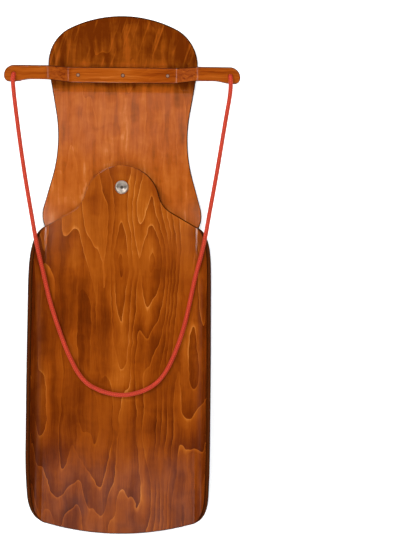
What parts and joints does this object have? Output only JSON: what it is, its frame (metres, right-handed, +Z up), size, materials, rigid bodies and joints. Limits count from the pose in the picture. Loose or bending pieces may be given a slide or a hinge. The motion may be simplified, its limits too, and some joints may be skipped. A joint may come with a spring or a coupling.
{
  "type": "steerable sled",
  "caption": "Low wooden sled: a moulded plywood seat shell on a steered front shell with an upright pivot, a steering bar with raised grips and a pull rope.",
  "frame": {"origin": "middle of the sled's length and width, on the ground under its sliding base", "axes": "+Y forward to the nose, +X to the right, +Z up"},
  "size_m": [0.502, 1.11, 0.061],
  "materials": {
    "rear_ply": "gloss lacquer",
    "front_ply": "gloss lacquer",
    "bar_ply": "gloss lacquer",
    "laminate": "satin",
    "bolt_steel": "satin",
    "screw_steel": "satin",
    "nylon": "matte",
    "red_rope": "braided"
  },
  "bodies": {
    "rear": {"rear_shell": "rear_ply", "rear_base": "laminate", "pivot_bolt": "bolt_steel", "pivot_nut": "bolt_steel", "glide_disc": "nylon"},
    "front": {"front_shell": "front_ply", "front_base": "laminate", "steering_bar": "bar_ply", "bar_screws": "screw_steel", "rope": "red_rope", "rope_knot_left": "red_rope", "rope_knot_right": "red_rope"}
  },
  "joints": [
    {"name": "steer", "type": "hinge", "parent": "rear", "child": "front", "pos_m": [0, 0.193, 0.01], "axis": [0, 0, 1], "range_deg": [-30, 30], "deforming": ["rope"]}
  ]
}
